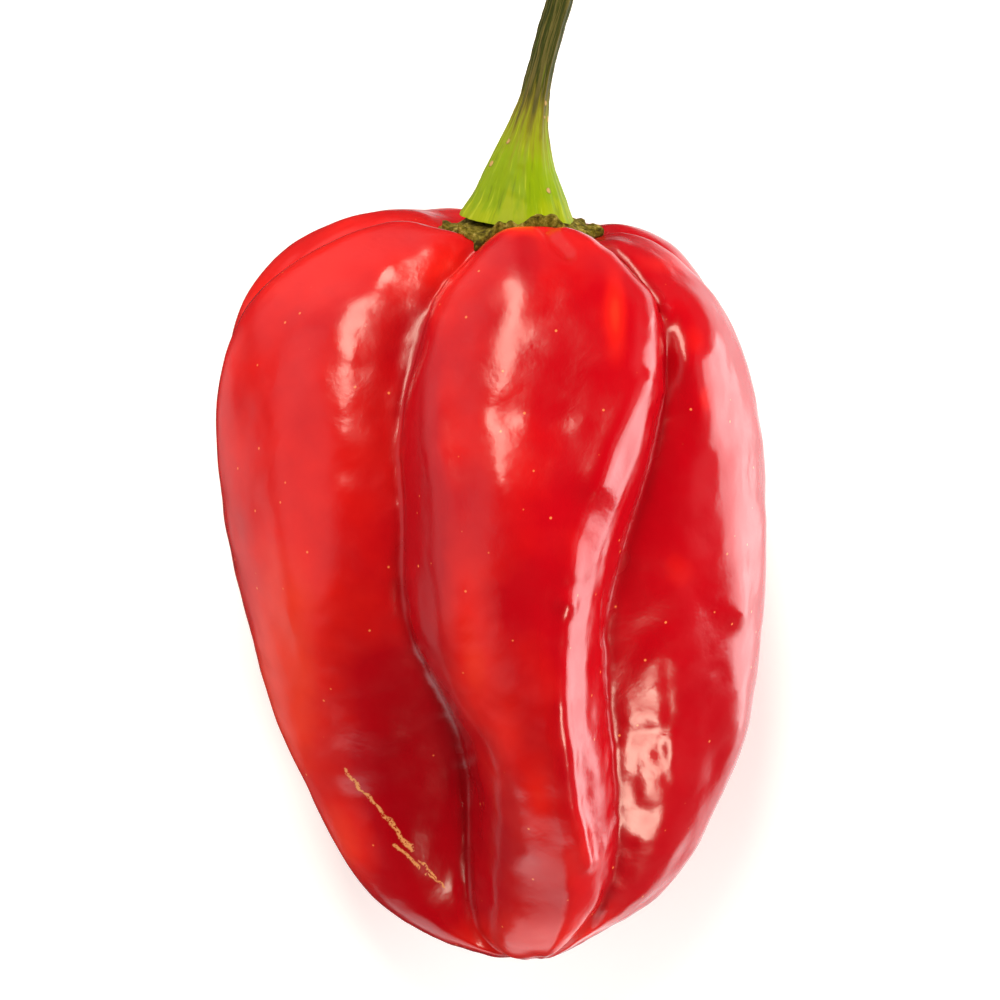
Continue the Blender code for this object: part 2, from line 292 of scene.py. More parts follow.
def wrapped(name, grid, **marks):
    """A flat sheet rolled onto a closed grid of points, in metres. Marks are point attributes."""
    rows, columns = grid.shape[0] - 1, grid.shape[1]
    sheet = bmesh.new()
    bmesh.ops.create_grid(sheet, x_segments=columns, y_segments=rows, size=0.5)
    layers = {mark: sheet.verts.layers.float.new(mark) for mark in marks}
    for vert in sheet.verts:
        row = round((0.5 - vert.co.y) * rows)
        column = round((vert.co.x + 0.5) * columns) % columns
        vert.co = grid[row, column]
        for mark, layer in layers.items():
            vert[layer] = marks[mark][row, column]
    bmesh.ops.remove_doubles(sheet, verts=sheet.verts, dist=1e-8)
    mesh = bpy.data.meshes.new(name)
    sheet.to_mesh(mesh)
    sheet.free()
    mesh.shade_smooth()
    made = bpy.data.objects.new(name, mesh)
    bpy.context.scene.collection.objects.link(made)
    return made


# ---------------------------------------------------------------- the pod


def round_creases(skin):
    """Softens the bottom of each crease, where the two lobes meet in a sharp line."""
    columns = skin.shape[1]
    spacing = columns // len(CREASES)
    offset = np.arange(columns) % spacing
    away = np.minimum(offset, spacing - offset)
    weight = np.clip(1 - away / ROUNDED_COLUMNS, 0, 1)[None, :, None] * 0.5
    for _ in range(ROUNDING_PASSES):
        beside = (np.roll(skin, 1, axis=1) + np.roll(skin, -1, axis=1)) / 2
        skin = skin * (1 - weight) + beside * weight
    return skin


def line_distance(places, line):
    """How far each place is from a bent line, both seen from above."""
    nearest = np.full(places.shape[:-1], 1e9)
    for start, end in zip(line, line[1:]):
        start, run = np.array(start), np.subtract(end, start)
        share = np.clip((places - start) @ run / (run @ run), 0, 1)
        apart = places - start - share[..., None] * run
        nearest = np.minimum(nearest, np.linalg.norm(apart, axis=-1))
    return nearest


def in_creases(skin, inner, outer):
    """1 at the bottom of each crease, as far as an inner distance, and 0 from an outer one on."""
    spacing = skin.shape[1] // len(CREASES)
    bottoms = np.repeat(skin[:, ::spacing], spacing, axis=1)
    before = np.linalg.norm(skin - bottoms, axis=-1)
    after = np.linalg.norm(skin - np.roll(bottoms, -spacing, axis=1), axis=-1)
    return 1 - smooth_step(inner, outer, np.minimum(before, after))


def dented(skin, normals):
    """How far the upper side stands out over the smooth lobes at each point, in millimetres."""
    height = np.zeros(skin.shape[:2])
    places = skin[..., :2]
    for line, width, rise in FURROWS:
        height += rise * np.exp(-(line_distance(places, line) / width) ** 2)
    for middle, spread, rise in DIMPLES:
        height += rise * hill(places, middle, spread)
    return height * smooth_step(-0.15, 0.15, normals[..., 2])


# Ridges and furrows on the upper side: the line that each follows, its half width and its height, in
# millimetres.
FURROWS = (
    # the left lobe's rounded back
    (((-9.2, 18.6), (-10.2, 17.0), (-10.6, 14.5), (-10.8, 10.5), (-11.1, 5.0)), 2.0, 0.05),
    # the left lobe's flat shoulder
    (((-4.0, 24.6), (-6.0, 22.9), (-8.2, 21.0)), 2.3, -0.12),
    # the middle lobe's rounded back
    (
        ((2.4, 22.5), (1.5, 19.5), (0.7, 17.0), (0.4, 14.5), (0.4, 12.0), (0.9, 9.6), (1.2, 7.0),
         (1.4, 3.0)),
        2.0, 0.1,
    ),
    # the right lobe's rounded back
    (((14.1, 17.4), (14.8, 15.0), (15.2, 12.6)), 1.2, 0.2),
    # the middle lobe's edge above the left groove
    (
        ((-4.1, 18.6), (-4.6, 15.0), (-4.4, 10.6), (-3.6, 7.0), (-3.3, 3.3), (-3.3, -0.3), (-3.2, -3.9),
         (-2.0, -7.6), (-0.1, -10.5), (1.6, -13.4), (2.7, -16.3), (3.0, -18.8)),
        1.2, 0.35,
    ),
    # the middle lobe's edge above the right groove: broad, then sharper, to the blossom end
    (((10.2, 20.0), (10.5, 17.5), (9.9, 14.5), (8.4, 11.0), (7.0, 7.5)), 1.4, 0.43),
    (((10.4, 14.5), (8.4, 10.6), (6.8, 6.3), (5.6, 3.0), (5.3, -1.0)), 0.8, 0.28),
    (((5.1, -1.0), (4.8, -8.3), (5.7, -15.6), (6.7, -19.9)), 0.65, 0.36),
    # the right lobe's outer shoulder
    (((17.3, 9.0), (17.2, 6.0), (17.1, 2.0), (17.4, -1.5)), 1.3, 0.35),
    # the right groove, filled where it is shallow on the shoulder
    (((9.0, 24.0), (10.8, 22.0), (12.0, 20.4)), 0.7, 0.35),
    # a fold on the right shoulder
    (((8.7, 24.6), (11.0, 24.0), (12.5, 23.2)), 1.0, 0.15),
    # the pit in the right groove
    (((12.9, 19.4), (12.7, 18.0)), 0.5, -0.08),
    # the low waist of the right lobe near the blossom end
    (((12.3, -5.5), (12.7, -9.0), (12.2, -12.0), (12.9, -15.5)), 0.4, -0.05),
    # a crease on the middle shoulder, and the fold beside it
    (((3.7, 25.9), (4.2, 25.0), (5.2, 23.9)), 0.5, -0.4),
    (((5.2, 25.4), (6.8, 24.8)), 0.8, 0.15),
    # fine furrows beside the right groove
    (((11.9, 13.5), (11.4, 10.3), (10.1, 7.0), (8.7, 3.3), (7.9, -0.3), (7.8, -3.9)), 0.3, -0.12),
    (((11.3, 12.8), (10.7, 9.7), (9.4, 6.6), (8.0, 3.0), (7.3, -1.0)), 0.3, -0.08),
    # a crease near the blossom end
    (((8.2, -21.2), (7.9, -23.2), (7.1, -25.0)), 0.3, -0.12),
    # low ridges beside the left groove, near the blossom end and near the stalk
    (((-2.6, -12.6), (-2.5, -15.0), (-2.3, -17.2), (-2.4, -20.0), (-2.2, -22.4)), 0.4, 0.13),
    (((-6.0, 17.5), (-6.6, 15.0), (-7.1, 12.1), (-6.8, 9.5)), 0.4, 0.06),
)

# Dimples and swellings of the upper side: their middle, half width and half length, and their height,
# in millimetres.
DIMPLES = (
    # the middle lobe's back
    ((0.8, 18.6), (2.4, 2.4), -0.08),
    ((6.0, 19.0), (2.0, 3.0), -0.14),
    ((-2.2, 12.3), (1.4, 1.8), -0.18),
    ((0.8, 12.5), (1.5, 1.7), -0.2),
    ((4.4, 12.0), (1.8, 2.5), -0.21),
    # the left lobe, from its shoulder to the blossom end
    ((-4.4, 21.6), (2.2, 2.2), 0.3),
    ((-7.6, 22.9), (1.6, 1.2), 0.2),
    ((-8.4, 19.6), (1.6, 0.6), -0.06),
    ((-10.2, 15.7), (1.6, 0.6), -0.06),
    ((-11.0, 6.6), (1.3, 1.6), 0.1),
    ((-2.9, -19.0), (1.3, 2.6), 0.2),
    # the right lobe, from its shoulder to the blossom end
    ((13.9, 15.9), (1.3, 1.7), 0.45),
    ((15.0, 12.0), (1.1, 1.8), 0.2),
    ((17.4, -7.5), (1.4, 6.5), 0.5),
    ((11.2, -10.4), (1.9, 0.5), -0.06),
    ((11.0, -16.2), (1.9, 0.6), -0.07),
)

# Painted light and shade, with some of the skin's own orange and crimson: where the skin is lighter and
# more orange, or darker. The middle, half width and half length, and how much.
TINTS_AND_PAINTED_SHADES = (
    # the left lobe
    ((-3.9, 23.0), (2.9, 1.2), 0.15),
    ((-12.5, 13.0), (6.0, 6.0), -0.12),
    ((-15.1, -7.6), (2.6, 9.5), 0.5),
    # painted shade: the lower left lobe beside the groove, darkened
    ((-6.0, -13.4), (3.8, 8.0), -0.7),
    ((-10.5, -18.5), (2.6, 4.0), 0.4),
    # the left groove: painted shade
    ((-5.2, 15.0), (1.0, 4.4), -0.4),
    ((-5.0, 7.7), (1.1, 4.4), -0.4),
    ((-4.8, 1.2), (1.1, 3.6), -0.25),
    # the middle lobe
    ((2.0, 25.6), (1.9, 0.5), 0.3),
    ((2.3, 23.3), (0.7, 1.9), -0.35),
    ((8.7, 19.5), (0.7, 2.6), 0.55),
    ((-1.6, -1.5), (1.6, 4.0), 0.1),
    ((-1.7, -4.7), (1.7, 6.5), 0.25),
    ((-0.9, -6.5), (1.4, 3.5), 0.2),
    ((3.5, -7.5), (1.8, 5.0), 0.15),
    ((1.0, -10.5), (1.4, 3.0), 0.4),
    ((3.2, -14.5), (1.3, 3.0), 0.35),
    ((5.2, -19.9), (3.6, 5.1), 0.2),
    # the right lobe
    ((12.1, 23.3), (2.5, 0.9), 0.2),
    ((14.5, 17.5), (1.0, 1.3), 0.25),
    ((15.2, 13.5), (0.6, 1.2), 0.35),
    ((14.3, 9.2), (2.9, 5.1), -0.1),
    ((13.3, 1.2), (1.6, 1.9), 0.3),
    ((16.5, -8.3), (2.2, 8.7), -0.2),
    ((11.8, -12.6), (1.9, 6.5), 0.15),
    # the blossom end: painted light
    ((3.5, -26.0), (8.0, 2.4), 0.4),
)

# Fine unevenness all over the skin: the height of its lumps, their size in millimetres, and a seed.
LUMPS = ((0.14, 6.0, 3), (0.075, 2.2, 4), (0.02, 1.0, 5))
# More of it on the right lobe, near the blossom end: the middle, half width and half length, and lumps
# that are narrower by this much.
LUMPY_PLACE = ((12.0, -12.5), (3.5, 9.0))
LUMPY_SQUEEZE = (1.6, 1, 1)
# Wrinkles down in the creases: they reach this far out of a crease, and are drawn out along it.
WRINKLED = (0.3, 2.2)
WRINKLE_STRETCH = (1, 0.6, 1)
# How far the tuck in a crease reaches, where the skin is painted darker as shade and is duller.
SHADED_DULL_CREASES = (0.35, 1.0)


def blushed(skin):
    """How orange and how light the skin is painted at each point, painted light and shade included: 0 is
    dark crimson, and 1 is light orange-red.
    """
    x, y, z = np.moveaxis(skin, -1, 0)
    # lighter and more orange to the left and towards the stalk: painted light, with the skin's own orange
    blush = 0.44 - 0.012 * x + 0.002 * y
    for middle, spread, amount in TINTS_AND_PAINTED_SHADES:
        blush += amount * hill(skin[..., :2], middle, spread) * (z > UPPER_SIDE)
    return blush


def unevenness(skin):
    """The height of the small lumps and wrinkles at each point, in millimetres."""
    height = sum(rise * roughness_of(skin, size, seed) for rise, size, seed in LUMPS)
    lumpy = hill(skin[..., :2], *LUMPY_PLACE) * (skin[..., 2] > UPPER_SIDE)
    height += 0.09 * lumpy * roughness_of(skin * LUMPY_SQUEEZE, 2.2, 9)
    height += 0.035 * lumpy * roughness_of(skin, 1.1, 11)
    wrinkles = 0.11 * roughness_of(skin * WRINKLE_STRETCH, 1.3, 12) + 0.05 * roughness_of(skin, 0.8, 13)
    return height + in_creases(skin, *WRINKLED) * wrinkles


def draw_pod():
    """The lobes with their furrows and lumps, calm at both poles and pressed flat on the table."""
    skin = round_creases(pod_skin(even_stations(POD_ROWS), POD_COLUMNS))
    normals = grid_normals(skin)
    height = dented(skin, normals) + unevenness(skin)
    rows = np.arange(POD_ROWS + 1)
    calm = smooth_step(0, 6, np.minimum(rows, POD_ROWS - rows))
    skin += (height * calm[:, None])[..., None] * normals
    skin[..., 2] = np.maximum(skin[..., 2], skin[..., 2].min() + PRESSED_FLAT)
    return skin


def frame_shift(skin):
    """From the drawing to the frame: over the middle of the frame's own pod, and on the same table."""
    low, high = (np.array(corner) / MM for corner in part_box("pod"))
    own_low, own_high = skin.min(axis=(0, 1)), skin.max(axis=(0, 1))
    shift = (low + high) / 2 - (own_low + own_high) / 2
    shift[2] = low[2] - own_low[2]
    return shift


skin = draw_pod()
SHIFT = frame_shift(skin)


def placed(grid):
    """Drawn millimetres to the frame's metres."""
    return (grid + SHIFT) * MM


def drawn(x, y, z):
    """One drawn place, as a vector in the frame."""
    return Vector(placed(np.array((x, y, z), float)))


pod = wrapped("pod_skin", placed(skin), blush=blushed(skin), tuck=in_creases(skin, *SHADED_DULL_CREASES))


# ---------------------------------------------------------------- the calyx


def under_calyx(radii):
    """Points of the skin at these distances from the calyx's axis: one column for each place round it."""
    near = pod_skin(np.linspace(0, 2.5, 100), CALYX_COLUMNS)
    away = near - np.array(CALYX_POLE)
    away -= (away @ CALYX_AXIS)[..., None] * CALYX_AXIS
    distance = np.maximum.accumulate(np.linalg.norm(away, axis=-1), axis=0)
    points = np.empty((len(radii), CALYX_COLUMNS, 3))
    for column in range(CALYX_COLUMNS):
        for k in range(3):
            points[:, column, k] = np.interp(radii[:, column], distance[:, column], near[:, column, k])
    return points


def make_calyx():
    """A thin crumbly collar draped over the shoulders, with small knobs round its rim."""
    turn = np.linspace(0, math.tau, CALYX_COLUMNS, endpoint=False)
    rim = CALYX_RADIUS + 0.28 * np.cos(5 * turn) + 0.14 * np.sin(11 * turn) + 0.12 * np.sin(27 * turn + 1)
    thickness = CALYX_THICKNESS - 0.12 * np.cos(5 * turn) + 0.1 * np.sin(9 * turn)
    thickness += 0.2 * np.cos(14 * turn + 0.6)
    thickness += CALYX_SWELLING * np.exp(-(((turn - SWELLING_TURN) / SWELLING_WIDTH) ** 2))
    share = 0.97 * np.linspace(0, 1, 40)[:, None] ** 0.7
    floor = under_calyx(share * rim)
    height = (floor - np.array(CALYX_POLE)) @ CALYX_AXIS
    blend = smooth_step(STEM[0][3] - 0.3, 5.5, share * rim)
    rise = (1 - blend) * CALYX_TOP + blend * (height + thickness) - height
    top = floor + rise[..., None] * CALYX_AXIS
    edge = under_calyx(rim[None])
    sides = [edge + (part * thickness)[None, :, None] * CALYX_AXIS for part in (0.85, 0.65, 0.45, 0.25)]
    bottom = floor + 0.1 * CALYX_AXIS
    grid = np.concatenate((top, *sides, bottom[::-1]))
    normals = grid_normals(grid)
    bumps = 0.13 * roughness_of(grid, 0.75, 5) + 0.09 * roughness_of(grid, 0.33, 6)
    grid += bumps[..., None] * normals
    return wrapped("calyx_cork", placed(grid))


calyx = make_calyx()


# ---------------------------------------------------------------- the stem


def stem_ribs(share, turn):
    """The ribs at each place along and round the stem, from -1 to 1, and the finer ones between them."""
    ribs = 1 - 2 * np.abs(np.sin(2.5 * turn + 0.5 + 0.8 * share)) ** 0.7
    fine = np.cos(13 * turn + 3 * share) + 0.7 * np.cos(22 * turn - 2 * share + 1)
    return ribs, fine


def closed_ends(middle, rings):
    """Rings of points with the foot drawn together to its middle, and the other end cut plain."""
    foot = np.broadcast_to(middle[0], rings[:1].shape)
    end = middle[-1:, None]
    caps = [end + scale * (rings[-1:] - end) for scale in (0.8, 0.4, 0.0)]
    return np.concatenate((foot, rings, *caps))


def make_stem():
    """A ribbed stalk on a wide foot, with a plain cut end."""
    points = np.array(STEM)
    stations = np.linspace(0, len(STEM) - 1, STEM_ROWS)
    line, slope = spline(points, points[1] - points[0], points[-1] - points[-2], stations)
    along = unit(slope[:, :3])
    side = unit(np.cross(along, (0, 0, 1)))
    lift = np.cross(side, along)
    turn = np.linspace(0, math.tau, STEM_COLUMNS, endpoint=False)
    ring = np.cos(turn)[None, :, None] * side[:, None] + np.sin(turn)[None, :, None] * lift[:, None]
    share = np.linspace(0, 1, STEM_ROWS)[:, None]
    ribs, fine = stem_ribs(share, turn)
    narrow = smooth_step(0.3, 0.55, share)
    radius = line[:, 3:] * (1 + (0.012 + 0.04 * narrow) * ribs + (0.006 + 0.014 * narrow) * fine)
    rings = line[:, None, :3] + radius[..., None] * ring
    rings += (0.05 * roughness_of(rings, 1.5, 7) + 0.03 * roughness_of(rings, 0.5, 8))[..., None] * ring
    grid = closed_ends(line[:, :3], rings)
    whole = np.ones(grid.shape[:2])
    return wrapped(
        "stem_stalk", placed(grid),
        height=np.clip((grid[..., 1] - STEM[0][1]) / (STEM[-1][1] - STEM[0][1]), 0, 1),
        east=whole * np.cos(turn), north=whole * np.sin(turn),
        ribs=np.concatenate((ribs[:1], ribs, np.repeat(ribs[-1:], 3, axis=0))),
    )


stem = make_stem()


# ---------------------------------------------------------------- materials


def new_material(name):
    """A material, its nodes and its shader."""
    material = bpy.data.materials.new(name)
    material.use_nodes = True
    tree = material.node_tree
    return material, tree, tree.nodes["Principled BSDF"]


def add(tree, kind, **values):
    """A node with these inputs: a plain value is set on its socket, and a socket is linked to it."""
    made = tree.nodes.new(kind)
    for key, value in values.items():
        if hasattr(made, key) and key not in made.inputs:
            setattr(made, key, value)
            continue
        socket = made.inputs[int(key[1:])] if key[0] == "i" and key[1:].isdigit() else made.inputs[key]
        if isinstance(value, bpy.types.NodeSocket):
            tree.links.new(value, socket)
        else:
            socket.default_value = value
    return made


def attribute(tree, name):
    """A piece's own mark, as a number."""
    return add(tree, "ShaderNodeAttribute", attribute_name=name).outputs["Fac"]


def reckon(tree, operation, *values):
    """The result of one sum: each value is a plain number or a socket."""
    inputs = {f"i{place}": value for place, value in enumerate(values)}
    return add(tree, "ShaderNodeMath", operation=operation, **inputs).outputs[0]


def noise(tree, place, scale, detail, roughness=0.5):
    """Cloudy noise from 0 to 1, with this many clouds to a metre."""
    return add(
        tree, "ShaderNodeTexNoise", Vector=place, Scale=scale, Detail=detail, Roughness=roughness
    ).outputs["Fac"]


def dots(tree, place, scale, core, edge, left_out):
    """1 on small round dots, of which this share is left out, and 0 off them."""
    cells = add(tree, "ShaderNodeTexVoronoi", Vector=place, Scale=scale, Randomness=1.0)
    dot = between(tree, cells.outputs["Distance"], core, edge, 1.0, 0.0)
    tone = add(tree, "ShaderNodeSeparateColor", Color=cells.outputs["Color"]).outputs[0]
    return reckon(tree, "MULTIPLY", dot, reckon(tree, "GREATER_THAN", tone, left_out))


def bumps(tree, shader, *layers):
    """Small bumps on a surface: each layer is its strength, its height in metres and its pattern."""
    below = None
    for strength, distance, pattern in layers:
        bump = add(tree, "ShaderNodeBump", Strength=strength, Distance=distance, Height=pattern)
        if below is not None:
            tree.links.new(below.outputs["Normal"], bump.inputs["Normal"])
        below = bump
    tree.links.new(below.outputs["Normal"], shader.inputs["Normal"])


def ramp(tree, factor, *stops):
    """A colour that changes with a number: each stop is its place and its colour."""
    made = tree.nodes.new("ShaderNodeValToRGB")
    tree.links.new(factor, made.inputs["Fac"])
    elements = made.color_ramp.elements
    while len(elements) < len(stops):
        elements.new(0.5)
    for element, (place, colour) in zip(elements, stops):
        element.position = place
        element.color = (*colour, 1)
    return made.outputs["Color"]


def between(tree, value, low, high, to_low=0.0, to_high=1.0):
    """A value mapped smoothly from one range to another."""
    if low > high:
        low, high, to_low, to_high = high, low, to_high, to_low
    return add(
        tree, "ShaderNodeMapRange", interpolation_type="SMOOTHSTEP", Value=value,
        i1=low, i2=high, i3=to_low, i4=to_high,
    ).outputs["Result"]


def mixed(tree, factor, first, second):
    """A colour between two others, each a colour or a socket."""
    made = add(tree, "ShaderNodeMix", data_type="RGBA")
    for place, value in ((0, factor), (6, first), (7, second)):
        if isinstance(value, bpy.types.NodeSocket):
            tree.links.new(value, made.inputs[place])
        else:
            made.inputs[place].default_value = value if place == 0 else (*value, 1)
    return made.outputs[2]


def scratch(tree, flat, start, end, width):
    """1 on a straight scratch between two places of the upper side, in millimetres, and 0 off it."""
    start, end = drawn(*start, 0), drawn(*end, 0)
    start.z = end.z = 0
    length = (end - start).length
    away = add(tree, "ShaderNodeVectorMath", operation="SUBTRACT", i0=flat, i1=start)
    along = add(
        tree, "ShaderNodeVectorMath", operation="DOT_PRODUCT", i0=away.outputs[0],
        i1=(end - start) / length,
    )
    reached = add(tree, "ShaderNodeClamp", Value=along.outputs["Value"], Min=0.0, Max=length)
    foot = add(
        tree, "ShaderNodeVectorMath", operation="SCALE", i0=(end - start) / length,
        Scale=reached.outputs[0],
    )
    gap = add(
        tree, "ShaderNodeVectorMath", operation="DISTANCE", i0=away.outputs[0], i1=foot.outputs[0]
    )
    return between(tree, gap.outputs["Value"], 0.4 * width * MM, width * MM, 1.0, 0.0)


# The dry scratches on the lower left of the upper side: their ends and half width, in millimetres.
SCRATCHES = (
    ((-10.8, -13.3), (-8.4, -16.0), 0.16),
    ((-8.4, -16.0), (-5.9, -19.2), 0.22),
    ((-7.1, -18.8), (-5.4, -20.6), 0.17),
    ((-5.4, -20.1), (-4.2, -21.3), 0.12),
    ((-4.8, -21.1), (-3.6, -22.0), 0.12),
)
# How far a scratch strays from straight, in metres.
SCRATCH_WANDER = 0.0007


def strayed(tree, place):
    """A place moved a little to one side or the other."""
    wander = add(tree, "ShaderNodeTexNoise", Vector=place, Scale=1100.0, Detail=2.0).outputs["Color"]
    centred = add(tree, "ShaderNodeVectorMath", operation="SUBTRACT", i0=wander, i1=(0.5, 0.5, 0.5))
    stray = add(
        tree, "ShaderNodeVectorMath", operation="SCALE", i0=centred.outputs[0], Scale=SCRATCH_WANDER
    )
    return add(tree, "ShaderNodeVectorMath", operation="ADD", i0=place, i1=stray.outputs[0]).outputs[0]


def scratches(tree, place):
    """1 on the dry scratches, which stray and crumble a little, and 0 off them."""
    place = strayed(tree, place)
    axes = add(tree, "ShaderNodeSeparateXYZ", Vector=place)
    flat = add(tree, "ShaderNodeCombineXYZ", X=axes.outputs["X"], Y=axes.outputs["Y"]).outputs[0]
    total = 0.0
    for start, end, width in SCRATCHES:
        total = reckon(tree, "MAXIMUM", total, scratch(tree, flat, start, end, width))
    upper = between(tree, axes.outputs["Z"], 0.012, 0.014)
    broken = between(tree, noise(tree, place, 5200.0, 2.0), 0.36, 0.5)
    return reckon(tree, "MULTIPLY", reckon(tree, "MULTIPLY", total, upper), broken)


def red_skin(tree, place, tuck):
    """Crimson to orange-red with painted light and shade, painted darker in the creases as shade, with
    tiny pale specks.
    """
    cloudy = reckon(tree, "MULTIPLY_ADD", noise(tree, place, 140.0, 4.0), 0.6, -0.3)
    colour = ramp(
        tree, reckon(tree, "ADD", attribute(tree, "blush"), cloudy),
        (0.0, (0.34, 0.0, 0.004)), (0.4, (0.4, 0.001, 0.005)),
        (0.75, (0.64, 0.01, 0.006)), (1.0, (0.78, 0.032, 0.011)),
    )
    # painted shade: darker down in the creases
    colour = mixed(tree, reckon(tree, "MULTIPLY", tuck, 0.25), colour, (0.2, 0.0, 0.002))
    return mixed(tree, dots(tree, place, 620.0, 0.03, 0.08, 0.4), colour, (0.8, 0.2, 0.06))


def pod_material():
    """Red skin with a waxy shine, which is duller in patches, in the creases and on the dry scratches."""
    material, tree, shader = new_material("waxy_red_skin")
    place = add(tree, "ShaderNodeTexCoord").outputs["Object"]
    tuck = attribute(tree, "tuck")
    dry = scratches(tree, place)
    colour = mixed(tree, dry, red_skin(tree, place, tuck), (0.72, 0.3, 0.09))
    tree.links.new(colour, shader.inputs["Base Color"])
    satin = between(tree, noise(tree, place, 420.0, 3.0), 0.3, 0.7, 0.17, 0.25)
    satin = reckon(tree, "MULTIPLY_ADD", tuck, 0.04, satin)
    tree.links.new(reckon(tree, "MULTIPLY_ADD", dry, 0.4, satin), shader.inputs["Roughness"])
    shader.inputs["Specular IOR Level"].default_value = 0.38
    pores, ripple = noise(tree, place, 3200.0, 2.0), noise(tree, place, 1250.0, 2.0)
    bumps(tree, shader, (0.6, 0.00001, pores), (0.5, 0.00004, ripple))
    return material


def calyx_material():
    """Crumbly olive-brown cork with straw-coloured grains."""
    material, tree, shader = new_material("dry_olive_cork")
    place = add(tree, "ShaderNodeTexCoord").outputs["Object"]
    grain = noise(tree, place, 2600.0, 5.0, 0.65)
    shade = reckon(tree, "MULTIPLY_ADD", noise(tree, place, 500.0, 2.0), 0.5, -0.25)
    colour = ramp(
        tree, reckon(tree, "ADD", shade, grain),
        (0.33, (0.03, 0.02, 0.001)), (0.47, (0.1, 0.08, 0.005)),
        (0.6, (0.2, 0.16, 0.02)), (0.75, (0.45, 0.34, 0.1)),
    )
    tree.links.new(colour, shader.inputs["Base Color"])
    shader.inputs["Roughness"].default_value = 0.85
    shader.inputs["Specular IOR Level"].default_value = 0.15
    bumps(tree, shader, (0.8, 0.0002, grain))
    return material


def lengthwise(tree, height, across, along, detail, roughness=0.5):
    """Streaks that run along the stem: so many round it, and so many from end to end."""
    rolled = add(
        tree, "ShaderNodeCombineXYZ", X=attribute(tree, "east"), Y=attribute(tree, "north"), Z=height
    ).outputs[0]
    drawn_out = add(tree, "ShaderNodeMapping", Vector=rolled, Scale=(across, across, along)).outputs[0]
    return noise(tree, drawn_out, 1.0, detail, roughness)


def green_stalk(tree, height, streak, fibre):
    """Bright green at the foot and dull olive above, streaked lengthwise, and brown along the ribs."""
    shift = reckon(tree, "MULTIPLY_ADD", streak, 0.36, -0.18)
    zone = reckon(tree, "ADD", height, shift)
    base = ramp(
        tree, zone, (0.0, (0.24, 0.3, 0.0)), (0.05, (0.17, 0.26, 0.0)), (0.13, (0.19, 0.28, 0.0)),
        (0.2, (0.2, 0.22, 0.006)), (0.27, (0.13, 0.11, 0.01)), (0.33, (0.028, 0.035, 0.004)),
        (1.0, (0.022, 0.028, 0.004)),
    )
    pale = ramp(
        tree, zone, (0.0, (0.38, 0.44, 0.02)), (0.15, (0.32, 0.38, 0.01)),
        (0.3, (0.12, 0.1, 0.023)), (1.0, (0.085, 0.08, 0.022)),
    )
    colour = mixed(tree, between(tree, fibre, 0.54, 0.78), base, pale)
    patch = reckon(tree, "MULTIPLY", between(tree, zone, 0.25, 0.4), between(tree, streak, 0.5, 0.62))
    colour = mixed(tree, patch, colour, (0.1, 0.085, 0.02))
    colour = mixed(tree, between(tree, fibre, 0.4, 0.22), colour, (0.09, 0.13, 0.004))
    crest = between(tree, attribute(tree, "ribs"), 0.6, 1.0)
    brown = reckon(tree, "MULTIPLY", crest, between(tree, zone, 0.16, 0.3))
    return mixed(tree, brown, colour, (0.2, 0.13, 0.035))


def stem_material():
    """A green stalk with fine fibres and small tan warts."""
    material, tree, shader = new_material("ribbed_green_stalk")
    place = add(tree, "ShaderNodeTexCoord").outputs["Object"]
    height = attribute(tree, "height")
    streak = lengthwise(tree, height, 4.5, 7.0, 4.0, 0.6)
    fibre = lengthwise(tree, height, 11.0, 9.0, 3.0)
    wart = dots(tree, place, 700.0, 0.13, 0.2, 0.62)
    colour = mixed(tree, wart, green_stalk(tree, height, streak, fibre), (0.42, 0.26, 0.09))
    tree.links.new(colour, shader.inputs["Base Color"])
    shader.inputs["Roughness"].default_value = 0.5
    shader.inputs["Specular IOR Level"].default_value = 0.12
    bumps(tree, shader, (0.7, 0.00008, fibre), (1.0, 0.0001, wart))
    return material


def dress(piece, material, node):
    """Gives a piece its finish, and its place in the frame."""
    piece.data.materials.append(material)
    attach(piece, "root")
    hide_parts(node)


dress(pod, pod_material(), "pod")
dress(calyx, calyx_material(), "calyx")
dress(stem, stem_material(), "stem")


# ---------------------------------------------------------------- studio

# The lights: azimuth and elevation, how wide and how tall each looks from the pod, all in degrees, how
# bright it is, its colour and its shape.
LIGHTS = {
    "far_lamp": (101, 45, 18, 50, 13, (1, 0.88, 0.72), "ELLIPSE"),
    "right_panel": (-2, -14, 31, 36, 5.6, (1, 1, 1), "RECTANGLE"),
    "right_panel_foot": (-2, -41, 31, 18, 2.8, (1, 1, 1), "RECTANGLE"),
    "right_fill": (7, 18, 42, 37, 7, (1, 1, 1), "RECTANGLE"),
    "left_fill": (200, 45, 60, 50, 0.5, (1, 1, 1), "RECTANGLE"),
    "near_lamp": (-53, 26, 12, 24, 16, (1, 0.88, 0.7), "ELLIPSE"),
}
# They all stand this far, in metres, from the middle of the pod, which is this high, in millimetres.
LIGHT_DISTANCE = 0.7
POD_MIDDLE = 17
# These only light the skin, and don't show in its shine.
HIDDEN_IN_SHINE = ("right_fill", "left_fill")

# Broad glows of the room round the pod: azimuth and elevation of the middle, how far the full glow and
# its fading reach from there, all in degrees, and how bright it is.
GLOWS = (
    ("left", -172, 33, 30, 50, 0.8),
    ("far_left", 125, 5, 15, 45, 0.7),
    ("near", -100, -20, 18, 30, 1.9),
    ("paper_right", 0, -62, 22, 36, 1.3),
    ("paper_left", -172, -40, 10, 25, 0.5),
)

# The camera looks straight down on the drawing's place here, in millimetres, from this many metres, and
# sees this many millimetres across.
CAMERA_TARGET = (0.5, 6.25, 17.0)
CAMERA_DISTANCE = 0.6
VIEW_WIDTH = 72.7
SENSOR_WIDTH = 36


